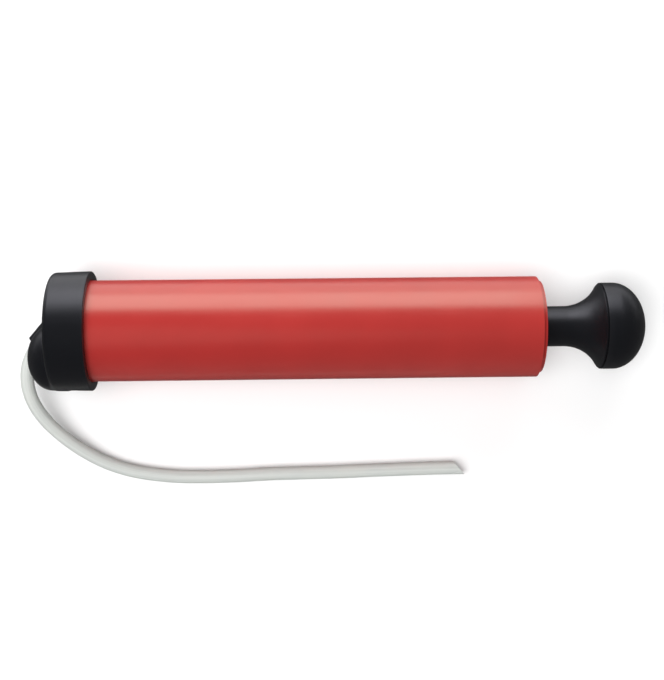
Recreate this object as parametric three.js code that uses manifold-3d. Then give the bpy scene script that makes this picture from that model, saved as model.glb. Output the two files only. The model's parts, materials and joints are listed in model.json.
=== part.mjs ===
// Hand air pump with a soft hose: a moulded barrel closed at the handle end, a push-on end cap with an
// outlet dome and a hose socket, and a hollow plunger with a palm knob. Millimetres, +Z up.
// The pump lies on a flat surface at z = 0, on the rim of its cap and on the far end of its barrel, so its
// axis drops a little towards +X. The origin is the middle of the pump's footprint on that surface.
// Inside the pump's own group, X runs along the axis from the cap to the knob, and the pieces' outlines
// are lists of [x, radius].
import * as THREE from "three";
import { mergeVertices } from "three/addons/utils/BufferGeometryUtils.js";
import Module from "manifold-3d";

const wasm = await Module();
wasm.setup();

// ---- Driving dimensions ----
const FIT = 0.3; // gap between pieces that rest on each other
const SLIDE = 0.2; // gap round a piece that slides or is pushed in
const SEGMENTS = 48; // round the barrel and the cap, with a flat facing down
const FINE = 30; // round the plunger and what it runs in
const COARSE = 24; // round the small hidden pieces

const BARREL_R = 30;
const BARREL_WALL = 2.5;
const BARREL_LEFT = -158.8;
const BARREL_RIGHT = 123;
const BARREL_EDGE = 2.4; // radius of the rounded edge at the handle end
const END_WALL = 3;
const BEAD = 0.6; // height of the snap bead that holds the cap
const BEAD_AT = -149.4;

const CAP_R = 35.5; // at the rim
const CAP_END_R = 34.8;
const CAP_FACE = -165.5;
const CAP_RIM = -142.2;
const CAP_WALL = 4.7;
const CAP_EDGE = 3;
const CAP_BORE_R = 30.35;

const DOME = { x: -165.6, y: -15.4, long: 14.8, round: 19.6, wall: 2.6 };
const VALVE_HOLE_R = 11.5;
const AIRWAY = { inside: new THREE.Vector3(-167.5, -9, -9), radius: 2.2 }; // from the dome to the socket
const SOCKET = {
  mouth: new THREE.Vector3(-178.2, -8.2, -15.7),
  heading: new THREE.Vector3(-0.643, -0.766, 0).normalize(),
  outer: 7,
  length: 21,
  depth: 11,
};

const ROD_R = 12;
const ROD_WALL = 2.2;
const ROD_LEFT = -138.3;
const FLARE_START = 137.3;
const FLARE_R = 23.5; // radius of the trumpet's hollow curve
const FLARE_TURN = 62.5; // degrees of that curve
const KNOB_R = 25.8;
const KNOB_WALL = 3;
const KNOB_SEAM = 158.8; // where the knob's dome meets the trumpet
const KNOB_BELLY = 166.3;
const KNOB_TIP = 185.6;

const BORE_R = BARREL_R - BARREL_WALL;
const PISTON_R = BORE_R - 0.5;
const NECK_R = 22.3;
const HUB_R = 4.8; // the end plug's spigot, which carries the plates
const SEAL_R = 2.3;
const GUIDE_R = 12.5; // hole in the end wall
const COLLAR_R = 16.3; // inside of the collar that holds the guide pieces
const COLLAR_WALL = 2.2;
const COLLAR_FLOOR = BARREL_RIGHT - END_WALL;
const COLLAR_LEFT = COLLAR_FLOOR - 14.1;
const VENT_R = 1.6;
const VENT_CIRCLE_R = 23.4;
const SCREW_R = 1.9;

// Where each inner piece starts and ends along the axis.
const AT = {
  wiper: [COLLAR_FLOOR - 2.2, COLLAR_FLOOR - FIT],
  bush: [COLLAR_FLOOR - 11.9, COLLAR_FLOOR - 2.5],
  retainer: [COLLAR_FLOOR - 13.7, COLLAR_FLOOR - 12.2],
  bumper: [COLLAR_FLOOR - 17.5, COLLAR_FLOOR - 14.4],
  cage: [-168.2, -163.6],
  disc: [-165.1, -163.6],
  seat: [-163.3, -161],
  gasket: [-160.6, -159],
  screwWasher: [-157.7, -156.6],
  frontPlate: [-156.3, -152.9],
  rearPlate: [-152.6, -142.4],
  thrustWasher: [-142.2, -141],
};

const HOSE_R = 4;
const HOSE_SIDES = 10;
const HOSE_STEPS = 40;

// The hose's centreline in the part's own frame, from inside the socket to its loose end.
const HOSE_ROUTE = [
  [-172.9, -0.6, 20.3],
  [-175.8, -4.0, 20.4],
  [-178.7, -7.5, 20.4],
  [-181.9, -12.0, 20.4],
  [-184.4, -17.2, 20.3],
  [-185.8, -22.5, 20.0],
  [-186.2, -28.1, 19.5],
  [-185.6, -34.6, 18.7],
  [-183.6, -41.6, 17.6],
  [-180.1, -48.7, 15.7],
  [-175.1, -55.7, 13.4],
  [-168.8, -62.3, 11.0],
  [-160.8, -69.2, 8.6],
  [-151.3, -75.7, 6.5],
  [-140.3, -81.4, 4.9],
  [-127.7, -85.7, 4.2],
  [-113.1, -88.5, 4.1],
  [-97.0, -90.1, 4.1],
  [-79.9, -90.4, 4.1],
  [-60.8, -90.0, 4.1],
  [-40.7, -89.1, 4.1],
  [-20.5, -88.7, 4.1],
  [0.6, -88.3, 4.1],
  [22.8, -87.6, 4.1],
  [42.9, -87.0, 4.1],
  [61.0, -86.6, 4.1],
  [82.2, -86.4, 4.1],
];
const HOSE_CUT = { x: 76.1, degrees: 40 }; // where the slanting end crosses the centreline, and its slant

const PLASTIC = { roughness: 0.5, metalness: 0 };
const red = new THREE.MeshStandardMaterial({ color: 0xc02a2d, roughness: 0.38, metalness: 0 });
const black = new THREE.MeshStandardMaterial({ color: 0x1b1c1f, ...PLASTIC });
const natural = new THREE.MeshStandardMaterial({ color: 0xe4e1d6, ...PLASTIC });
const rubber = new THREE.MeshStandardMaterial({ color: 0x17171a, roughness: 0.8, metalness: 0 });
const nitrile = new THREE.MeshStandardMaterial({ color: 0x3a2418, roughness: 0.7, metalness: 0 });
const steel = new THREE.MeshStandardMaterial({ color: 0xb9bcc0, roughness: 0.35, metalness: 1 });
const felt = new THREE.MeshStandardMaterial({ color: 0x8d8a80, roughness: 1, metalness: 0 });
const clear = new THREE.MeshStandardMaterial({ color: 0xd3d6d0, roughness: 0.3, metalness: 0 });

// ---- Shape helpers ----

// A piece turned round the X axis. Its outline is [x, radius] points round the half section: it starts
// and ends on the axis, or closes on itself.
function turned(outline, segments) {
  const area = outline.reduce((sum, [x, r], i) => {
    const [nextX, nextR] = outline[(i + 1) % outline.length];
    return sum + r * nextX - nextR * x;
  }, 0);
  const points = outline.map(([x, r]) => new THREE.Vector2(r, x));
  if (area < 0) points.reverse();
  if (points[0].x > 0) points.push(points[0].clone());
  const flatDown = Math.PI / segments;
  return new THREE.LatheGeometry(points, segments, flatDown).rotateZ(-Math.PI / 2);
}

function ring(from, to, inner, outer, segments = COARSE) {
  return turned([[from, inner], [from, outer], [to, outer], [to, inner]], segments);
}

// Points on an ellipse round [x, r], from one angle to another in degrees, 0 being along +X.
function arc(x, r, alongX, alongR, from, to, steps) {
  return Array.from({ length: steps + 1 }, (_, i) => {
    const angle = THREE.MathUtils.degToRad(from + ((to - from) * i) / steps);
    return [x + alongX * Math.cos(angle), Math.max(0, r + alongR * Math.sin(angle))];
  });
}

// A round bar from one point to another.
function bar(from, to, radius, sides = 24) {
  const along = to.clone().sub(from);
  const upright = new THREE.Vector3(0, 1, 0);
  return new THREE.CylinderGeometry(radius, radius, along.length(), sides)
    .applyQuaternion(new THREE.Quaternion().setFromUnitVectors(upright, along.clone().normalize()))
    .translate(...from.clone().add(to).multiplyScalar(0.5));
}

function block(sizeX, sizeY, sizeZ, x, y, z) {
  return new THREE.BoxGeometry(sizeX, sizeY, sizeZ).translate(x, y, z);
}

// ---- Booleans ----

function solid(geometry) {
  const bare = geometry.clone();
  bare.deleteAttribute("normal");
  bare.deleteAttribute("uv");
  const merged = mergeVertices(bare, 1e-4);
  return new wasm.Manifold(
    new wasm.Mesh({
      numProp: 3,
      vertProperties: merged.attributes.position.array,
      triVerts: new Uint32Array(merged.index.array),
    }),
  );
}

function surface(made) {
  const { vertProperties, triVerts } = made.getMesh();
  return new THREE.BufferGeometry()
    .setAttribute("position", new THREE.BufferAttribute(vertProperties, 3))
    .setIndex(new THREE.BufferAttribute(triVerts, 1));
}

function joined(geometries) {
  return geometries.map(solid).reduce((sum, next) => sum.add(next));
}

function cut(geometry, tools) {
  const start = geometry instanceof THREE.BufferGeometry ? solid(geometry) : geometry;
  return tools.map(solid).reduce((left, tool) => left.subtract(tool), start);
}

// ---- Barrel and the pieces fixed in it ----

function barrel() {
  const round = BARREL_RIGHT - BARREL_EDGE;
  const outline = [
    [BARREL_LEFT, BORE_R + 0.7],
    [BARREL_LEFT, BARREL_R - BEAD],
    [BARREL_LEFT + 0.6, BARREL_R],
    [BEAD_AT - 1.2, BARREL_R],
    [BEAD_AT - 0.4, BARREL_R + BEAD],
    [BEAD_AT + 0.4, BARREL_R + BEAD],
    [BEAD_AT + 1.2, BARREL_R],
    ...arc(round, BARREL_R - BARREL_EDGE, BARREL_EDGE, BARREL_EDGE, 90, 0, 3),
    [BARREL_RIGHT, 18.6],
    [BARREL_RIGHT - 0.6, 18],
    [BARREL_RIGHT - 0.6, GUIDE_R + 0.5],
    [BARREL_RIGHT - 1.1, GUIDE_R],
    [COLLAR_FLOOR, GUIDE_R],
    [COLLAR_FLOOR, COLLAR_R],
    [COLLAR_LEFT, COLLAR_R],
    [COLLAR_LEFT, COLLAR_R + COLLAR_WALL],
    [COLLAR_FLOOR - 1, COLLAR_R + COLLAR_WALL],
    [COLLAR_FLOOR, COLLAR_R + COLLAR_WALL + 1],
    [COLLAR_FLOOR, BORE_R],
    [BARREL_LEFT + 2.3, BORE_R],
  ];
  const vents = [45, 135, 225, 315].map((degrees) => {
    const angle = THREE.MathUtils.degToRad(degrees);
    const [y, z] = [VENT_CIRCLE_R * Math.cos(angle), VENT_CIRCLE_R * Math.sin(angle)];
    const inside = new THREE.Vector3(COLLAR_FLOOR - 2, y, z);
    return bar(inside, inside.clone().setX(BARREL_RIGHT + 2), VENT_R, 10);
  });
  return surface(cut(turned(outline, SEGMENTS), vents));
}

const wiper = () => ring(...AT.wiper, ROD_R + SLIDE, COLLAR_R - SLIDE, FINE);

function guideBush() {
  const [left, right] = AT.bush;
  return turned(
    [
      [left, COLLAR_R - 0.9],
      [left + 0.7, COLLAR_R - SLIDE],
      [right, COLLAR_R - SLIDE],
      [right, ROD_R + 0.6],
      [right - 0.4, ROD_R + SLIDE],
      [left + 0.4, ROD_R + SLIDE],
      [left, ROD_R + 0.6],
    ],
    FINE,
  );
}

const retainingRing = () => ring(...AT.retainer, ROD_R + 1.2, COLLAR_R - SLIDE, FINE);

function endBumper() {
  const [left, right] = AT.bumper;
  return turned(
    [
      [left, ROD_R + 1.4],
      [left, COLLAR_R + 1.2],
      [left + 0.8, COLLAR_R + 2],
      [right, COLLAR_R + 2],
      [right, ROD_R + 0.8],
      [left + 0.6, ROD_R + 0.8],
    ],
    FINE,
  );
}

// ---- End cap, its outlet dome and valve ----

function ellipsoid(long, round, steps) {
  const outline = arc(DOME.x, 0, long, round, 180, 0, steps);
  return turned(outline, FINE).translate(0, DOME.y, 0);
}

function endCap() {
  const inner = CAP_FACE + CAP_WALL;
  const cup = [
    [CAP_FACE, 0],
    ...arc(CAP_FACE + CAP_EDGE, CAP_END_R - CAP_EDGE, CAP_EDGE, CAP_EDGE, 180, 90, 3),
    [CAP_RIM - 0.9, CAP_R],
    [CAP_RIM - 0.3, CAP_R - 0.2],
    [CAP_RIM, CAP_R - 0.8],
    [CAP_RIM, CAP_BORE_R + 0.4],
    [CAP_RIM - 0.4, CAP_BORE_R],
    [BEAD_AT + 1.8, CAP_BORE_R],
    [BEAD_AT + 1, CAP_BORE_R + BEAD],
    [BEAD_AT - 1, CAP_BORE_R + BEAD],
    [BEAD_AT - 1.8, CAP_BORE_R],
    [inner, CAP_BORE_R],
    [inner, 0],
  ];
  const { mouth, heading, outer, length, depth } = SOCKET;
  const back = (distance) => mouth.clone().addScaledVector(heading, -distance);
  const past = mouth.clone().addScaledVector(heading, 2);
  const seat = inner - 2.6;
  const outside = block(40, 120, 120, inner + 20, 0, 0);
  const rightOfSeat = block(40, 60, 60, seat + 20, DOME.y, 0);
  const dome = cut(ellipsoid(DOME.long, DOME.round, 12), [outside]);
  const socket = cut(bar(back(length), mouth, outer), [outside]);
  const chamber = cut(ellipsoid(DOME.long - DOME.wall, DOME.round - DOME.wall, 8), [rightOfSeat]);
  const opening = new THREE.Vector3(inner + 1, DOME.y, 0);
  return surface(
    solid(turned(cup, SEGMENTS))
      .add(dome)
      .add(socket)
      .subtract(chamber)
      .subtract(solid(bar(opening, opening.clone().setX(seat - 0.5), VALVE_HOLE_R, FINE)))
      .subtract(solid(bar(back(depth), past, HOSE_R + FIT + 0.05, 20)))
      .subtract(solid(bar(back(depth - 1), AIRWAY.inside, AIRWAY.radius, 12))),
  );
}

const capGasket = () => ring(...AT.gasket, BORE_R - 1.3, CAP_BORE_R - FIT, SEGMENTS);

function valveSeat() {
  const [left, right] = AT.seat;
  const outline = [
    [left, 3.5],
    [left, VALVE_HOLE_R - FIT],
    [right, VALVE_HOLE_R - FIT],
    [right, 4.5],
    [right - 1, 3.5],
  ];
  return turned(outline, COARSE).translate(0, DOME.y, 0);
}

function valveDisc() {
  const [left, right] = AT.disc;
  const radius = 6;
  return turned([[left, 0], [left, radius], [right, radius], [right, 0]], COARSE).translate(0, DOME.y, 0);
}

// A short tube round the disc, crossed by three flat bars that stop it.
function valveCage() {
  const [left, right] = AT.cage;
  const hoop = ring(left, right, 8, 10.5).translate(0, DOME.y, 0);
  const bars = [0, 60, 120].map((degrees) =>
    new THREE.BoxGeometry(1.2, 17, 1.8)
      .rotateX(THREE.MathUtils.degToRad(degrees))
      .translate(left + 0.6, DOME.y, 0),
  );
  return surface(joined([hoop, ...bars]));
}

// ---- Piston ----

function frontPlate() {
  const [left, right] = AT.frontPlate;
  const plate = turned(
    [
      [left, HUB_R + FIT],
      [left, PISTON_R - 0.8],
      [left + 0.8, PISTON_R],
      [right, PISTON_R],
      [right, HUB_R + FIT],
    ],
    SEGMENTS,
  );
  const notches = Array.from({ length: 8 }, (_, i) =>
    new THREE.BoxGeometry(8, 4, 8)
      .translate((left + right) / 2, 0, BORE_R)
      .rotateX((i * Math.PI) / 4),
  );
  return surface(cut(plate, notches));
}

// The rear plate has a neck that the seal ring floats on.
function rearPlate() {
  const [left, right] = AT.rearPlate;
  return turned(
    [
      [left, HUB_R + FIT],
      [left, NECK_R],
      [left + 6.6, NECK_R],
      [left + 6.6, PISTON_R],
      [right - 0.8, PISTON_R],
      [right, PISTON_R - 0.8],
      [right, HUB_R + FIT],
    ],
    SEGMENTS,
  );
}

const sealRing = () => turned(arc(AT.rearPlate[0] + 4, 25, SEAL_R, SEAL_R, 0, 315, 7), SEGMENTS);

// ---- Plunger: rod with its trumpet, knob, end plug and fasteners ----

function plungerRod() {
  const inner = FLARE_R + ROD_WALL;
  const centre = ROD_R + FLARE_R;
  const mouth = KNOB_SEAM - FIT;
  const spigot = KNOB_R - KNOB_WALL - FIT;
  const spigotEnd = KNOB_SEAM + 3.6;
  return turned(
    [
      [ROD_LEFT, ROD_R - ROD_WALL],
      [ROD_LEFT, ROD_R],
      ...arc(FLARE_START, centre, FLARE_R, FLARE_R, -90, -90 + FLARE_TURN, 9),
      [mouth, KNOB_R - 0.9],
      [mouth, spigot],
      [spigotEnd, spigot],
      [spigotEnd, spigot - 2],
      [mouth, spigot - 2],
      ...arc(FLARE_START, centre, inner, inner, -40, -90, 5),
    ],
    FINE,
  );
}

const knobCap = () =>
  turned(
    [
      ...arc(KNOB_BELLY, 0, KNOB_TIP - KNOB_BELLY - KNOB_WALL, KNOB_R - KNOB_WALL, 0, 90, 5),
      [KNOB_SEAM, KNOB_R - KNOB_WALL],
      [KNOB_SEAM, KNOB_R - 1.1],
      [KNOB_SEAM + 0.5, KNOB_R - 0.4],
      [KNOB_SEAM + 1.5, KNOB_R],
      ...arc(KNOB_BELLY, 0, KNOB_TIP - KNOB_BELLY, KNOB_R, 90, 0, 9),
    ],
    FINE,
  );

// A cup pushed into the rod, with a flange that meets the rod's end and a spigot for the piston's plates.
function endPlug() {
  const cupR = ROD_R - ROD_WALL - FIT;
  const cupRight = ROD_LEFT + 12.1;
  const flange = ROD_LEFT - FIT;
  const spigotEnd = AT.frontPlate[0] - 0.1;
  return turned(
    [
      [flange - 3.6, 0],
      [flange - 3.6, SCREW_R + FIT],
      [spigotEnd, SCREW_R + FIT],
      [spigotEnd, HUB_R],
      [flange - 2.2, HUB_R],
      [flange - 2.2, ROD_R - SLIDE],
      [flange, ROD_R - SLIDE],
      [flange, cupR],
      [cupRight - 0.8, cupR],
      [cupRight, cupR - 0.8],
      [cupRight, cupR - 2.3],
      [flange + 1.8, cupR - 2.3],
      [flange + 1.8, 0],
    ],
    COARSE,
  );
}

const thrustWasher = () => ring(...AT.thrustWasher, HUB_R + FIT, ROD_R + SLIDE);
const screwWasher = () => ring(...AT.screwWasher, SCREW_R + 0.4, 8);

// A pan-head screw with a cross recess.
function pistonScrew() {
  const seat = AT.screwWasher[0] - SLIDE;
  const top = seat - 2.3;
  const tip = seat + 15.3;
  const headR = 4.5;
  const slot = 0.9;
  const body = turned(
    [
      [top, 0],
      [top, headR - 1.3],
      [top + 0.8, headR],
      [seat, headR],
      [seat, SCREW_R],
      [tip - 1, SCREW_R],
      [tip, 0],
    ],
    20,
  );
  const recess = [block(2.4, 4.4, slot, top, 0, 0), block(2.4, slot, 4.4, top, 0, 0)];
  return surface(cut(body, recess));
}

// ---- Hose ----

// A tube along the route, made from rings that stand square to it, with its loose end cut on a slant.
function hose() {
  const points = HOSE_ROUTE.map((point) => new THREE.Vector3(...point));
  const curve = new THREE.CatmullRomCurve3(points, false, "centripetal");
  const section = new THREE.Shape(
    Array.from({ length: HOSE_SIDES }, (_, i) => {
      const angle = ((i + 0.5) / HOSE_SIDES) * 2 * Math.PI;
      return new THREE.Vector2(HOSE_R * Math.cos(angle), HOSE_R * Math.sin(angle));
    }),
  );
  const tube = new THREE.ExtrudeGeometry(section, { extrudePath: curve, steps: HOSE_STEPS });
  const knife = new THREE.BoxGeometry(40, 60, 40)
    .translate(20, 0, 0)
    .rotateZ(THREE.MathUtils.degToRad(HOSE_CUT.degrees))
    .translate(HOSE_CUT.x, HOSE_ROUTE.at(-1)[1], 0);
  return surface(cut(tube, [knife]));
}

// ---- Assembly ----

function piece(name, geometry, material) {
  const mesh = new THREE.Mesh(geometry, material);
  mesh.name = name;
  return mesh;
}

const pump = new THREE.Group();
pump.add(
  piece("barrel", barrel(), red),
  piece("rod_wiper_ring", wiper(), felt),
  piece("rod_guide_bush", guideBush(), natural),
  piece("bush_retaining_ring", retainingRing(), steel),
  piece("end_bumper", endBumper(), rubber),
  piece("end_cap", endCap(), black),
  piece("cap_gasket", capGasket(), rubber),
  piece("valve_seat_plate", valveSeat(), natural),
  piece("valve_disc", valveDisc(), nitrile),
  piece("valve_cage", valveCage(), natural),
  piece("piston_front_plate", frontPlate(), natural),
  piece("piston_rear_plate", rearPlate(), natural),
  piece("piston_seal_ring", sealRing(), nitrile),
  piece("plunger_rod", plungerRod(), black),
  piece("knob_cap", knobCap(), black),
  piece("rod_end_plug", endPlug(), natural),
  piece("thrust_washer", thrustWasher(), natural),
  piece("screw_washer", screwWasher(), steel),
  piece("piston_screw", pistonScrew(), steel),
);

// The pump rests on the flats under the cap's rim and under the barrel's handle end.
const flat = Math.cos(Math.PI / SEGMENTS);
const standsFrom = CAP_RIM - 0.9;
const standsTo = BARREL_RIGHT - BARREL_EDGE;
pump.rotation.y = Math.atan(((CAP_R - BARREL_R) * flat) / (standsTo - standsFrom));
pump.updateMatrixWorld(true);
const footprint = new THREE.Box3().setFromObject(pump, true);
pump.position.set(-(footprint.min.x + footprint.max.x) / 2, 0, -footprint.min.z);

const part = new THREE.Group();
part.add(pump, piece("hose", hose(), clear));

export default part;
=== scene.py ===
import json
import math
from itertools import product

import bmesh
import bpy
import numpy as np
from mathutils import Matrix, Vector


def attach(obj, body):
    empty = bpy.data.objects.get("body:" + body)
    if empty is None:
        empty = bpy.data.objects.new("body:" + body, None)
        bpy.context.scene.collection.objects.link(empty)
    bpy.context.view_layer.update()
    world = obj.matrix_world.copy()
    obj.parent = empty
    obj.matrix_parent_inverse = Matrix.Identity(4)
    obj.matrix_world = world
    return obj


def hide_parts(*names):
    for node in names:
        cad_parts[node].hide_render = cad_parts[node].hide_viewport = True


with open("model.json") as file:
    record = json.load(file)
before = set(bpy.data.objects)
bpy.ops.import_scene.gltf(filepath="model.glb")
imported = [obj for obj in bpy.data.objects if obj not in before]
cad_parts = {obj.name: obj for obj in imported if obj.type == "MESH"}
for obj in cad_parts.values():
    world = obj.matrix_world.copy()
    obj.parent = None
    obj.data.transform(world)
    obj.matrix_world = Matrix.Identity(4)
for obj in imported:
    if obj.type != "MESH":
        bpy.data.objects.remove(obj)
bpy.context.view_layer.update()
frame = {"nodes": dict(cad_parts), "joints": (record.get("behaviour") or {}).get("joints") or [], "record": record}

MM = 0.001
turn = next(joint for joint in frame["joints"] if joint["name"] == "handle_turn")
lie_along = Vector((1, 0, 0)).rotation_difference(Vector(turn["axis"])).to_matrix().to_4x4()
place = Matrix.Translation(turn["pos_m"]) @ lie_along @ Matrix.Scale(MM, 4)

# ---- Camera ----

CAMERA_AT = (-0.0015, -0.0068, 0.753)
CAMERA_ROLL = math.radians(-0.61)
LENS = 64.14

camera = bpy.data.objects.new("camera", bpy.data.cameras.new("camera"))
camera.data.lens = LENS
camera.location = CAMERA_AT
camera.rotation_euler = (0, 0, CAMERA_ROLL)
bpy.context.scene.collection.objects.link(camera)
bpy.context.scene.camera = camera

# ---- Mesh helpers ----

SHARP = math.radians(32)  # edges folded more than this are shaded as edges
LONGEST_HOLD = 0.25  # the flat either side of a rounding, which keeps the shading of its sides even


def finished(name, mesh, body, nodes=()):
    """The mesh as a smooth-shaded piece that rides on a body and stands for the CAD nodes."""
    bmesh.ops.recalc_face_normals(mesh, faces=mesh.faces)
    for face in mesh.faces:
        face.smooth = True
    for edge in mesh.edges:
        edge.smooth = len(edge.link_faces) == 2 and edge.calc_face_angle(0) < SHARP
    data = bpy.data.meshes.new(name)
    mesh.to_mesh(data)
    mesh.free()
    piece = bpy.data.objects.new(name, data)
    bpy.context.scene.collection.objects.link(piece)
    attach(piece, body)
    if nodes:
        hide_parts(*nodes)
    return piece


def mesh_of(points, faces):
    """A mesh from its points and its faces, which are lists of point numbers."""
    mesh = bmesh.new()
    vertices = [mesh.verts.new(point) for point in points]
    for face in faces:
        mesh.faces.new([vertices[i] for i in face])
    return mesh


def rounded(corners, steps=6):
    """The outline through (x, radius, rounding) corners, each an arc with a short flat either side."""
    outline = []
    for i, (x, r, rounding) in enumerate(corners):
        here = Vector((x, r))
        back = Vector(corners[i - 1][:2]) - here
        on = Vector(corners[(i + 1) % len(corners)][:2]) - here
        if not rounding:
            outline.append(here)
            continue
        half = back.angle(on) / 2
        reach = rounding / math.tan(half)
        start = here + back.normalized() * reach
        end = here + on.normalized() * reach
        middle = (back.normalized() + on.normalized()).normalized()
        centre = here + middle * rounding / math.sin(half)
        sweep = (math.pi - 2 * half) * (1 if back.cross(on) < 0 else -1)
        hold = min(LONGEST_HOLD, rounding / 3)
        outline.append(start + back.normalized() * hold)
        for step in range(steps + 1):
            spoke = (start - centre) @ Matrix.Rotation(sweep * step / steps, 2)
            outline.append(centre + spoke)
        outline.append(end + on.normalized() * hold)
    return [tuple(point) for point in outline]


def curve_arc(x, r, along, across, start, end, steps):
    """Points on an ellipse round (x, r), from one angle in degrees to another, 0 being along +X."""
    angles = [math.radians(start + (end - start) * i / steps) for i in range(steps + 1)]
    return [(x + along * math.cos(a), max(0.0, r + across * math.sin(a))) for a in angles]


def turned(outline, segments=160):
    """A closed surface made by turning the outline round the pump's axis."""
    mesh = bmesh.new()
    rings = []
    for x, r in outline:
        if r < 1e-6:
            rings.append([mesh.verts.new((x, 0, 0))] * segments)
            continue
        angles = [2 * math.pi * k / segments for k in range(segments)]
        rings.append([mesh.verts.new((x, r * math.cos(a), r * math.sin(a))) for a in angles])
    for i, ring in enumerate(rings):
        other = rings[(i + 1) % len(rings)]
        for k in range(segments):
            corners = [ring[k], ring[(k + 1) % segments], other[(k + 1) % segments], other[k]]
            corners = list(dict.fromkeys(corners))
            if len(corners) > 2:
                mesh.faces.new(corners)
    mesh.transform(place)
    return mesh


def carved(piece, tools):
    """Cuts the tools, which are closed meshes, out of the piece."""
    for tool in tools:
        data = bpy.data.meshes.new("tool")
        tool.to_mesh(data)
        tool.free()
        cutter = bpy.data.objects.new("tool", data)
        bpy.context.scene.collection.objects.link(cutter)
        modifier = piece.modifiers.new("cut", "BOOLEAN")
        modifier.operation = "DIFFERENCE"
        modifier.solver = "EXACT"
        modifier.object = cutter
        with bpy.context.temp_override(object=piece, active_object=piece, selected_objects=[piece]):
            bpy.ops.object.modifier_apply(modifier=modifier.name)
        bpy.data.objects.remove(cutter)
    return piece


# ---- Hose ----

# The hose's centreline in metres in the row frame, from inside the socket to past its loose end.
HOSE_ROUTE = [
    (-0.1729, -0.0006, 0.0203),
    (-0.1758, -0.0040, 0.0204),
    (-0.1787, -0.0075, 0.0204),
    (-0.1819, -0.0120, 0.0204),
    (-0.1844, -0.0172, 0.0203),
    (-0.1858, -0.0225, 0.0200),
    (-0.1862, -0.0281, 0.0195),
    (-0.1856, -0.0346, 0.0187),
    (-0.1836, -0.0416, 0.0176),
    (-0.1801, -0.0487, 0.0157),
    (-0.1751, -0.0557, 0.0134),
    (-0.1688, -0.0623, 0.0110),
    (-0.1608, -0.0692, 0.0086),
    (-0.1513, -0.0757, 0.0065),
    (-0.1403, -0.0814, 0.0049),
    (-0.1277, -0.0857, 0.0042),
    (-0.1131, -0.0885, 0.0041),
    (-0.0970, -0.0901, 0.0041),
    (-0.0799, -0.0904, 0.0041),
    (-0.0608, -0.0900, 0.0041),
    (-0.0407, -0.0891, 0.0041),
    (-0.0205, -0.0887, 0.0041),
    (0.0006, -0.0883, 0.0041),
    (0.0228, -0.0876, 0.0041),
    (0.0429, -0.0870, 0.0041),
    (0.0610, -0.0866, 0.0041),
    (0.0822, -0.0864, 0.0041),
]
HOSE_END = 0.0761  # X where the slanting end crosses the centreline
HOSE_SLANT = math.tan(math.radians(40))
HOSE_SLANT_FADE = 0.012  # how far back from the end its rings start to lean
HOSE_STRAIGHT = -0.05  # Y below which the hose runs along the pump and can be past its end
HOSE_R = 0.004
HOSE_BORE_R = 0.00275
HOSE_STEP = 0.0015
HOSE_SIDES = 48


def smooth_line(points, per_span=24):
    """A centripetal Catmull-Rom curve through the points."""
    ends = [2 * points[0] - points[1], *points, 2 * points[-1] - points[-2]]
    line = []
    for before, start, end, after in zip(ends, ends[1:], ends[2:], ends[3:]):
        gaps = [(b - a).length ** 0.5 for a, b in ((before, start), (start, end), (end, after))]
        leave = (start - before) / gaps[0] - (end - before) / (gaps[0] + gaps[1])
        leave = leave * gaps[1] + (end - start)
        arrive = (after - end) / gaps[2] - (after - start) / (gaps[1] + gaps[2])
        arrive = arrive * gaps[1] + (end - start)
        for i in range(per_span):
            t = i / per_span
            line.append(
                start * (2 * t**3 - 3 * t**2 + 1)
                + leave * (t**3 - 2 * t**2 + t)
                + end * (3 * t**2 - 2 * t**3)
                + arrive * (t**3 - t**2)
            )
    return np.array([*line, points[-1]])


def spaced(line, step):
    """The line again, cut into equal steps."""
    along = np.concatenate([[0], np.cumsum(np.linalg.norm(np.diff(line, axis=0), axis=1))])
    count = round(along[-1] / step)
    at = np.linspace(0, along[-1], count + 1)
    return np.stack([np.interp(at, along, line[:, i]) for i in range(3)], axis=1)


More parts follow.
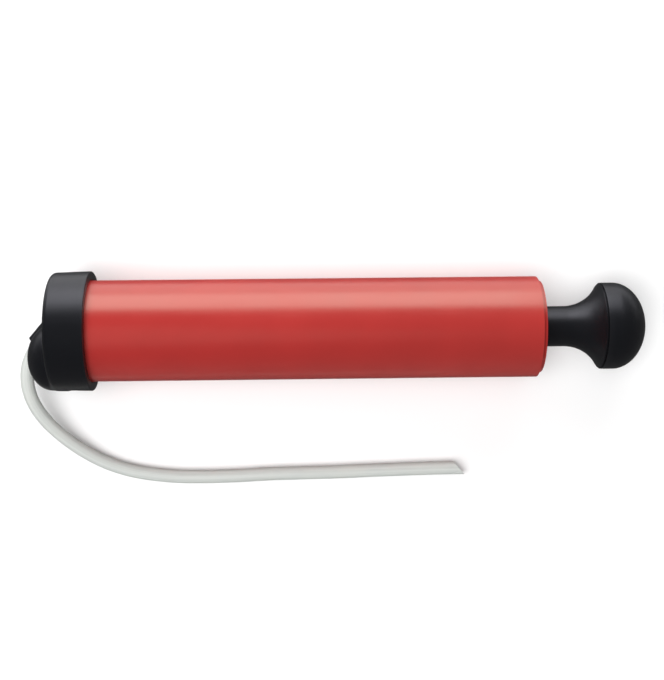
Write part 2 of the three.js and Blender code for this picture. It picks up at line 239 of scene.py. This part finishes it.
def hose():
    """A tube with a bore, whose loose end is cut off on a slant by leaning its last rings."""
    line = smooth_line([Vector(point) for point in HOSE_ROUTE])
    line = spaced(line[(line[:, 0] < HOSE_END) | (line[:, 1] > HOSE_STRAIGHT)], HOSE_STEP)
    ahead = np.gradient(line, axis=0)
    ahead /= np.linalg.norm(ahead, axis=1)[:, None]
    side = np.cross((0, 0, 1), ahead)
    side /= np.linalg.norm(side, axis=1)[:, None]
    over = np.cross(ahead, side)
    to_go = np.linalg.norm(line - line[-1], axis=1)
    lean = np.clip(1 - to_go / HOSE_SLANT_FADE, 0, 1) * HOSE_SLANT
    angles = np.linspace(0, 2 * np.pi, HOSE_SIDES, endpoint=False)
    skins = []
    for radius in (HOSE_R, HOSE_BORE_R):
        across = radius * np.cos(angles)
        up = radius * np.sin(angles)
        rings = line[:, None] + side[:, None] * across[:, None] + over[:, None] * up[:, None]
        skins.append(rings - ahead[:, None] * (lean[:, None] * across)[:, :, None])
    count = len(line)
    points = np.concatenate([skin.reshape(-1, 3) for skin in skins])

    def vertex(skin, ring, k):
        return (skin * count + ring) * HOSE_SIDES + k % HOSE_SIDES

    faces = []
    for k in range(HOSE_SIDES):
        for skin, ring in product((0, 1), range(count - 1)):
            corners = [(ring, k), (ring, k + 1), (ring + 1, k + 1), (ring + 1, k)]
            faces.append([vertex(skin, *corner) for corner in corners])
        for ring in (0, count - 1):
            corners = [(0, ring, k), (0, ring, k + 1), (1, ring, k + 1), (1, ring, k)]
            faces.append([vertex(*corner) for corner in corners])
    piece = finished("clear_hose", mesh_of(points.tolist(), faces), "barrel", ["hose"])

    # Each point's place as if the hose lay straight, for streaks that follow it: rough drawn marks, and in the
    # colour painted refraction of the bore.
    along = np.repeat(np.arange(count) * HOSE_STEP, HOSE_SIDES)
    round_it = np.tile(angles, count)
    straight = [
        np.stack([radius * np.cos(round_it), radius * np.sin(round_it), along], axis=1)
        for radius in (HOSE_R, HOSE_BORE_R)
    ]
    drawn = piece.data.attributes.new("drawn", "FLOAT_VECTOR", "POINT")
    drawn.data.foreach_set("vector", np.concatenate(straight).ravel())
    return piece


# ---- Barrel ----

BARREL_R = 29.94
BARREL_LEFT = -158.8
BARREL_RIGHT = 123
BARREL_EDGE = 2.4
END_WALL = 3
BORE_R = 27.5
LEAD_IN = (2.3, 0.7)  # length and depth of the wider mouth of the bore
GUIDE_R = 12.5  # hole for the rod
RECESS = (18.0, 0.7)  # radius and depth of the round recess about that hole
COLLAR_R = 16.3
COLLAR_LONG = 14.1
COLLAR_WALL = 2.2
VENT_R = 1.6
VENT_CIRCLE_R = 23.4
VENTS = 4


def barrel():
    """The red tube, closed at the handle end by a wall with vents and a collar round the rod's hole."""
    wall = BARREL_RIGHT - END_WALL
    lead_long, lead_deep = LEAD_IN
    recess_r, recess_deep = RECESS
    outline = rounded(
        [
            (BARREL_LEFT, BORE_R + lead_deep, 0.2),
            (BARREL_LEFT, BARREL_R, 0.6),
            (BARREL_RIGHT, BARREL_R, BARREL_EDGE),
            (BARREL_RIGHT, recess_r + 0.4, 0.3),
            (BARREL_RIGHT - recess_deep, recess_r, 0.25),
            (BARREL_RIGHT - recess_deep, GUIDE_R, 0.4),
            (wall, GUIDE_R, 0.2),
            (wall, COLLAR_R, 0.2),
            (wall - COLLAR_LONG, COLLAR_R, 0.2),
            (wall - COLLAR_LONG, COLLAR_R + COLLAR_WALL, 0.4),
            (wall, COLLAR_R + COLLAR_WALL, 1.0),
            (wall, BORE_R, 1.0),
            (BARREL_LEFT + lead_long, BORE_R, 0.5),
        ]
    )
    piece = finished("barrel_shell", turned(outline), "barrel", ["barrel"])
    start, end = wall - 1, BARREL_RIGHT + 1
    vents = []
    for i in range(VENTS):
        angle = 2 * math.pi * (i + 0.5) / VENTS
        y, z = VENT_CIRCLE_R * math.cos(angle), VENT_CIRCLE_R * math.sin(angle)
        vent = turned([(start, 0), (start, VENT_R), (end, VENT_R), (end, 0)], 24)
        vent.transform(place @ Matrix.Translation((0, y, z)) @ place.inverted())
        vents.append(vent)
    return carved(piece, vents)


# ---- End cap, modelled as a distance field so that its dome and socket grow out of it on fillets ----

CAP_R = 35.42
CAP_END_R = 34.75
CAP_FACE = -165.5
CAP_RIM = -142.2
CAP_WALL = 4.7
CAP_EDGE = 3
CAP_BORE_R = 30.35
VALVE_RECESS = 2.6  # how far the room under the dome stays short of the cap's floor
DOME_X = -165.6
DOME_Y = -15.4
DOME_LONG = 14.8
DOME_ROUND = 19.6
DOME_WALL = 2.6
VALVE_HOLE_R = 11.5
SOCKET_MOUTH = np.array([-178.2, -8.2, -15.7])
SOCKET_HEADING = np.array([-0.643, -0.766, 0])
SOCKET_R = 6.95
SOCKET_LONG = 21
SOCKET_DEPTH = 11
HOSE_SEAT_R = 4.25
AIRWAY_END = np.array([-167.5, -9, -9])
AIRWAY_R = 2.2
DOME_FILLET = 1.6
SOCKET_FILLET = 2.4
CAP_LOW = (-186, -37, -37)
CAP_HIGH = (-141, 37, 37)
CAP_GRID = 0.55


def joined(a, b, fillet):
    """Two solids as one, with a fillet in the corner between them."""
    corner = np.hypot(np.maximum(fillet - a, 0), np.maximum(fillet - b, 0))
    return np.maximum(fillet, np.minimum(a, b)) - corner


def common(a, b, rounding):
    """What two solids share, its edge rounded off."""
    corner = np.hypot(np.maximum(rounding + a, 0), np.maximum(rounding + b, 0))
    return np.minimum(-rounding, np.maximum(a, b)) + corner


def less(a, b, rounding):
    """The first solid less the second, its edge rounded off."""
    return common(a, -b, rounding)


def ellipsoid(x, y, z, long, radius):
    """An ellipsoid on the cap's face that goes on as a cylinder behind it."""
    u, v, w = np.minimum(x - DOME_X, 0) / long, (y - DOME_Y) / radius, z / radius
    near = np.sqrt(u**2 + v**2 + w**2) + 1e-9
    steep = np.sqrt((u / long) ** 2 + (v / radius) ** 2 + (w / radius) ** 2) + 1e-9
    return near * (near - 1) / steep


def rod(x, y, z, start, heading, length, radius, rounding):
    """A round bar from a point, along a heading, with its edges rounded."""
    heading = heading / np.linalg.norm(heading)
    dx, dy, dz = x - start[0], y - start[1], z - start[2]
    along = dx * heading[0] + dy * heading[1] + dz * heading[2]
    away = np.sqrt(np.maximum(dx**2 + dy**2 + dz**2 - along**2, 0))
    return common(away - radius, np.abs(along - length / 2) - length / 2, rounding)


def cap_field(x, y, z):
    """Below 0 inside the end cap, in millimetres along the pump's own axes."""
    away = np.hypot(y, z)
    side = away - (CAP_END_R + (CAP_R - CAP_END_R) * (x - CAP_FACE) / (CAP_RIM - CAP_FACE))
    cup = common(common(side, CAP_FACE - x, CAP_EDGE), x - CAP_RIM, 0.7)
    dome = common(ellipsoid(x, y, z, DOME_LONG, DOME_ROUND), x - (CAP_FACE + 9), 0.5)
    back = SOCKET_MOUTH - SOCKET_HEADING * SOCKET_LONG
    socket = rod(x, y, z, back, SOCKET_HEADING, SOCKET_LONG, SOCKET_R, 0.7)
    whole = joined(joined(cup, dome, DOME_FILLET), socket, SOCKET_FILLET)
    inner = CAP_FACE + CAP_WALL
    bore = common(away - CAP_BORE_R, inner - x, 0.8)
    seat = inner - VALVE_RECESS
    chamber = common(ellipsoid(x, y, z, DOME_LONG - DOME_WALL, DOME_ROUND - DOME_WALL), x - seat, 0.5)
    hole = common(np.hypot(y - DOME_Y, z) - VALVE_HOLE_R, np.abs(x - inner) - 3, 0.3)
    floor_of_seat = SOCKET_MOUTH - SOCKET_HEADING * SOCKET_DEPTH
    hose_seat = rod(x, y, z, floor_of_seat, SOCKET_HEADING, SOCKET_DEPTH + 3, HOSE_SEAT_R, 0.3)
    passage_start = SOCKET_MOUTH - SOCKET_HEADING * (SOCKET_DEPTH - 1)
    airway = AIRWAY_END - passage_start
    passage = rod(x, y, z, passage_start, airway, np.linalg.norm(airway), AIRWAY_R, 0.2)
    for hollow in (bore, chamber, hole, hose_seat, passage):
        whole = less(whole, hollow, 0.45)
    return whole


def surface_of(field, low, high, step):
    """The closed surface where the field is 0: a point in each grid cell that it passes through, pulled
    onto it, and a face across each grid edge that it cuts."""
    axes = [np.arange(a, b + step, step) for a, b in zip(low, high)]
    inside = field(*np.meshgrid(*axes, indexing="ij")) < 0
    spans = [(slice(None, -1), slice(1, None))] * 3
    corners = sum(inside[corner].astype(int) for corner in product(*spans))
    mixed = (corners > 0) & (corners < 8)
    index = np.full(mixed.shape, -1)
    index[mixed] = np.arange(mixed.sum())
    points = np.stack([axes[i][cell] + step / 2 for i, cell in enumerate(np.nonzero(mixed))], axis=1)
    start = points.copy()
    nudge, pulls, reach = 0.02, 8, 0.7 * step
    for _ in range(pulls):
        value = field(*points.T)
        slopes = [
            (field(*(points + e).T) - field(*(points - e).T)) / (2 * nudge) for e in np.eye(3) * nudge
        ]
        slope = np.stack(slopes, axis=1)
        points -= value[:, None] * slope / np.maximum((slope**2).sum(axis=1), 0.1)[:, None]
        points = np.clip(points, start - reach, start + reach)
    faces = []
    for axis in range(3):
        first = np.moveaxis(inside, axis, 0)
        cells = np.moveaxis(index, axis, 0)
        cut = first[:-1] != first[1:]
        i, j, k = np.nonzero(cut[:, 1:-1, 1:-1])
        round_edge = ((j, k), (j + 1, k), (j + 1, k + 1), (j, k + 1))
        faces.extend(np.stack([cells[i, a, b] for a, b in round_edge], axis=1).tolist())
    return points, faces


def end_cap():
    """The cap with its dome and socket, one moulding."""
    points, faces = surface_of(cap_field, CAP_LOW, CAP_HIGH, CAP_GRID)
    mesh = mesh_of(points.tolist(), faces)
    mesh.transform(place)
    return finished("end_cap_shell", mesh, "barrel", ["end_cap"])


# ---- Plunger ----

ROD_LEFT = -138.3
ROD_R = 12
ROD_WALL = 2.2
ROD_EDGE = 0.3
FLARE_START = 137.3
FLARE_R = 23.5  # radius of the trumpet's hollow curve
FLARE_TURN = 62.5  # degrees of that curve
FLARE_END_R = 25.3
SPIGOT_R = 22.4  # the ring that the knob is pushed on
SPIGOT_BORE_R = 20.4
SPIGOT_LONG = 3.6
KNOB_R = 25.75
KNOB_SEAM = 158.8
KNOB_BELLY = 166.3
KNOB_TIP = 185.6
KNOB_WALL = 3
KNOB_TIP_WALL = 2.6
SEAM_GAP = 0.06


def plunger_rod():
    """The hollow rod, which opens out as a trumpet and holds the knob on a spigot."""
    centre = ROD_R + FLARE_R
    inner = FLARE_R + ROD_WALL
    mouth = KNOB_SEAM - SEAM_GAP
    spigot_end = KNOB_SEAM + SPIGOT_LONG
    flare = curve_arc(FLARE_START, centre, FLARE_R, FLARE_R, -90, -90 + FLARE_TURN, 28)
    outline = [
        (ROD_LEFT, ROD_R - ROD_WALL),
        (ROD_LEFT, ROD_R - ROD_EDGE),
        (ROD_LEFT + ROD_EDGE, ROD_R),
        *[(x, ROD_R) for x in (-100, -50, 0, 50, 100, 118, 130)],
        *flare,
        *rounded([(*flare[-1], 0), (mouth, FLARE_END_R, 0.2), (mouth, SPIGOT_R, 0)], 3)[1:],
        (spigot_end, SPIGOT_R),
        (spigot_end, SPIGOT_BORE_R),
        (mouth, SPIGOT_BORE_R),
        *curve_arc(FLARE_START, centre, inner, inner, -40, -90, 12),
    ]
    return finished("plunger_stem", turned(outline, 96), "plunger", ["plunger_rod"])


def knob():
    """The palm knob, a hollow dome."""
    inside = KNOB_R - KNOB_WALL
    long = KNOB_TIP - KNOB_BELLY
    lining = curve_arc(KNOB_BELLY, 0, long - KNOB_TIP_WALL, inside, 0, 90, 16)
    lip = rounded([(KNOB_SEAM, inside, 0), (KNOB_SEAM, KNOB_R - 0.1, 0.3), (KNOB_SEAM + 3, KNOB_R, 0)])
    dome = curve_arc(KNOB_BELLY, 0, long, KNOB_R, 90, 0, 32)
    outline = [*lining, *lip, *dome]
    return finished("palm_knob", turned(outline, 144), "plunger", ["knob_cap"])


# ---- Materials ----


class Nodes:
    """A material and short calls that build its nodes."""

    def __init__(self, name):
        self.material = bpy.data.materials.new(name)
        self.material.use_nodes = True
        self.tree = self.material.node_tree
        self.shader = self.tree.nodes["Principled BSDF"]
        self.place = self.add("ShaderNodeTexCoord").outputs["Object"]

    def add(self, kind, inputs=(), **settings):
        """A node with its settings, and each input set to a value or linked to a socket."""
        node = self.tree.nodes.new(kind)
        for setting, value in settings.items():
            setattr(node, setting, value)
        for socket, value in dict(inputs).items():
            self.set(node, socket, value)
        return node

    def set(self, node, socket, value):
        if isinstance(value, bpy.types.NodeSocket):
            self.tree.links.new(value, node.inputs[socket])
        else:
            node.inputs[socket].default_value = value

    def noise(self, scale, detail=2.0, stretch=(1, 1, 1), place=None):
        """Noise of a scale per metre, stretched along an axis where its number is below 1."""
        where = self.add("ShaderNodeMapping", {"Vector": place or self.place, "Scale": stretch})
        inputs = {"Vector": where.outputs[0], "Scale": scale, "Detail": detail}
        return self.add("ShaderNodeTexNoise", inputs).outputs["Fac"]

    def spread(self, value, low, high, to_low, to_high):
        """The value's stretch from low to high, mapped to another one."""
        inputs = {"From Min": low, "From Max": high, "To Min": to_low, "To Max": to_high}
        return self.add("ShaderNodeMapRange", {"Value": value, **inputs}).outputs[0]

    def blend(self, share, a, b):
        """A colour between a and b."""
        node = self.add("ShaderNodeMix", data_type="RGBA")
        for socket, value in zip((0, 6, 7), (share, a, b)):
            self.set(node, socket, value)
        return node.outputs[2]

    def bump(self, height, distance, strength=1.0, under=None):
        """A relief of a depth in metres, on top of another one if it is given."""
        inputs = {"Height": height, "Distance": distance, "Strength": strength}
        if under is not None:
            inputs["Normal"] = under
        return self.add("ShaderNodeBump", inputs).outputs[0]

    def finish(self, **inputs):
        """Sets the shader's inputs, with _ for each space in their names."""
        for socket, value in inputs.items():
            self.set(self.shader, socket.replace("_", " "), value)
        return self.material


def shade(colour, factor):
    """The colour made lighter or darker."""
    return (*[min(1.0, channel * factor) for channel in colour], 1)


def moulded(
    name, colour, roughness, specular=0.5, gloss=(1, 1, 1), worn=None, wear=0.0, grain=0.00001
):
    """Moulded plastic: faint clouds in its colour, fine grain, drawn-out rubs, and pale worn edges."""
    nodes = Nodes(name)
    clouds = nodes.noise(28, 4)
    tint = nodes.blend(nodes.spread(clouds, 0.3, 0.7, 0, 1), shade(colour, 0.93), shade(colour, 1.05))
    rubs = nodes.noise(420, 5, (0.05, 1, 1))
    rubbed = nodes.spread(rubs, 0.56, 0.75, 0, 1)
    if worn:
        edge = nodes.add("ShaderNodeNewGeometry").outputs["Pointiness"]
        tint = nodes.blend(nodes.spread(edge, 0.52, 0.6, 0, wear), tint, (*worn, 1))
    fine = nodes.noise(2400, 3)
    cloudy = nodes.spread(clouds, 0.3, 0.7, roughness - 0.03, roughness + 0.04)
    dulled = nodes.spread(rubbed, 0, 1, 0, 0.06)
    dull = nodes.add("ShaderNodeMath", {0: cloudy, 1: dulled}, operation="ADD")
    normal = nodes.bump(fine, grain, 0.6)
    normal = nodes.bump(rubbed, grain * 0.6, 0.5, normal)
    return nodes.finish(
        Base_Color=tint,
        Roughness=dull.outputs[0],
        Normal=normal,
        Specular_IOR_Level=specular,
        Specular_Tint=(*gloss, 1),
    )


def clear_plastic():
    """Cloudy soft tube: some light passes through it, and it has faint streaks drawn along it, which roughen its
    surface and paint the light and shade refracted by its bore into its colour.
    """
    nodes = Nodes("cloudy_tube")
    drawn = nodes.add("ShaderNodeAttribute", attribute_name="drawn").outputs["Vector"]
    streaks_and_refraction = nodes.noise(700, 3, (1, 1, 0.012), drawn)
    clouds = nodes.noise(45, 3)
    # The lighter and darker streaks in the colour are painted refraction of the bore; the same noise also drives
    # the bump and roughness.
    painted_refraction_streaks = nodes.spread(streaks_and_refraction, 0.35, 0.65, 0, 1)
    tint = nodes.blend(painted_refraction_streaks, (0.60, 0.625, 0.60, 1), (0.70, 0.725, 0.70, 1))
    tint = nodes.blend(nodes.spread(clouds, 0.4, 0.7, 0, 0.35), tint, (0.72, 0.73, 0.68, 1))
    normal = nodes.bump(streaks_and_refraction, 0.00008, 0.5)
    rough = nodes.spread(streaks_and_refraction, 0.3, 0.7, 0.3, 0.42)
    return nodes.finish(
        Base_Color=tint,
        Roughness=rough,
        Normal=normal,
        Transmission_Weight=0.2,
        IOR=1.4,
        Specular_IOR_Level=0.4,
    )


def metal(name, colour, roughness):
    """Plated steel with fine brush marks."""
    nodes = Nodes(name)
    brushed = nodes.noise(1800, 3, (1, 0.1, 1))
    tint = nodes.blend(nodes.spread(brushed, 0.3, 0.7, 0, 1), shade(colour, 0.8), shade(colour, 1.1))
    rough = nodes.spread(brushed, 0.3, 0.7, roughness - 0.08, roughness + 0.1)
    normal = nodes.bump(brushed, 0.00001, 0.5)
    return nodes.finish(Base_Color=tint, Roughness=rough, Normal=normal, Metallic=1.0)


def wool():
    """Felt with oil in it."""
    nodes = Nodes("oiled_felt")
    fibres = nodes.noise(1500, 6, (1, 0.3, 1))
    tone = nodes.spread(fibres, 0.3, 0.7, 0, 1)
    tint = nodes.blend(tone, (0.20, 0.18, 0.14, 1), (0.42, 0.39, 0.32, 1))
    normal = nodes.bump(fibres, 0.0003, 0.8)
    return nodes.finish(Base_Color=tint, Roughness=0.95, Normal=normal, Sheen_Weight=0.3)


RED = (0.48, 0.017, 0.018)
BLACK = (0.0045, 0.0050, 0.0064)
WORN_RED = (0.70, 0.16, 0.13)
WORN_BLACK = (0.03, 0.03, 0.034)
WARM_GLOSS = (1, 0.98, 0.82)
COOL_GLOSS = (0.9, 0.9, 1.0)

materials = {
    "barrel_red": moulded("red_plastic", RED, 0.31, 1.0, WARM_GLOSS, WORN_RED, wear=0.25),
    "black_plastic": moulded("black_plastic", BLACK, 0.39, 0.6, COOL_GLOSS, WORN_BLACK, wear=0.5),
    "natural_plastic": moulded("natural_plastic", (0.78, 0.75, 0.67), 0.45),
    "black_rubber": moulded("black_rubber", (0.02, 0.02, 0.02), 0.7, 0.3, grain=0.00003),
    "seal_rubber": moulded("seal_rubber", (0.05, 0.025, 0.015), 0.35),
    "felt": wool(),
    "steel": metal("zinc_steel", (0.6, 0.6, 0.62), 0.3),
    "hose_clear": clear_plastic(),
}


def paint(piece, slot):
    """Gives the piece the one material of its slot."""
    piece.data.materials.clear()
    piece.data.materials.append(materials[slot])


tube = hose()
paint(tube, "hose_clear")
paint(barrel(), "barrel_red")
paint(end_cap(), "black_plastic")
paint(plunger_rod(), "black_plastic")
paint(knob(), "black_plastic")

# The pieces inside keep their CAD shape.
slots = {part["node"]: part["material_slot"] for part in frame["record"]["subparts"]}
for name, node in frame["nodes"].items():
    if node.material_slots:
        for material_slot in node.material_slots:
            material_slot.material = materials[slots[name]]
    else:
        node.data.materials.append(materials[slots[name]])

# ---- Floor and light ----


FLOOR = 0.85  # half the floor's width
NEAR = 0.085  # Y up to which the floor would show too bright in the pump's gloss


def floor():
    """A plain floor in two pieces, of which the near one is left out of the pump's gloss."""
    nodes = Nodes("floor")
    pale = nodes.finish(Base_Color=(0.9, 0.9, 0.9, 1), Roughness=0.9, Specular_IOR_Level=0.1)
    pieces = []
    for name, front, back in (("floor_near", -FLOOR, NEAR), ("floor_far", NEAR, FLOOR)):
        corners = [(-FLOOR, front, 0), (FLOOR, front, 0), (FLOOR, back, 0), (-FLOOR, back, 0)]
        mesh = mesh_of(corners, [(0, 1, 2, 3)])
        data = bpy.data.meshes.new(name)
        mesh.to_mesh(data)
        mesh.free()
        data.materials.append(pale)
        piece = bpy.data.objects.new(name, data)
        bpy.context.scene.collection.objects.link(piece)
        piece.visible_glossy = name == "floor_far"
        pieces.append(piece)
    return pieces


def softbox(name, at, aim, size, power, glossy=True, only=()):
    """A lamp with a width and a height, aimed at a point. It can be kept out of the gloss, and it can
    light some pieces only."""
    light = bpy.data.lights.new(name, "AREA")
    light.shape = "RECTANGLE"
    light.size, light.size_y = size
    light.energy = power
    lamp = bpy.data.objects.new(name, light)
    lamp.location = at
    lamp.rotation_euler = (Vector(aim) - Vector(at)).to_track_quat("-Z", "Y").to_euler()
    lamp.visible_glossy = glossy
    if only:
        alone = bpy.data.collections.new(name)
        for piece in only:
            alone.objects.link(piece)
        lamp.light_linking.receiver_collection = alone
        lamp.light_linking.blocker_collection = alone
    bpy.context.scene.collection.objects.link(lamp)


ground = floor()
softbox("key", at=(-0.12, 0.736, 0.343), aim=(-0.12, 0, 0.03), size=(1.1, 0.614), power=6.4)
softbox("fill", at=(-0.5, -0.35, 1.45), aim=(0, 0, 0), size=(1.2, 1.2), power=20, glossy=False)
softbox(
    "floor_wash",
    at=(0, 0, 1.8),
    aim=(0, 0, 0),
    size=(2.0, 2.0),
    power=17,
    glossy=False,
    only=[*ground, tube],
)


def studio(lit, seen):
    """The room round the floor: how strongly it lights things, and how bright it is where seen."""
    world = bpy.data.worlds.new("studio")
    world.use_nodes = True
    nodes = world.node_tree.nodes
    path = nodes.new("ShaderNodeLightPath")
    strength = nodes.new("ShaderNodeMapRange")
    strength.inputs["To Min"].default_value = lit
    strength.inputs["To Max"].default_value = seen
    world.node_tree.links.new(path.outputs["Is Camera Ray"], strength.inputs["Value"])
    world.node_tree.links.new(strength.outputs[0], nodes["Background"].inputs["Strength"])
    nodes["Background"].inputs["Color"].default_value = (1, 1, 1, 1)
    bpy.context.scene.world = world


studio(0.12, 0.95)
bpy.context.scene.view_settings.view_transform = "Standard"
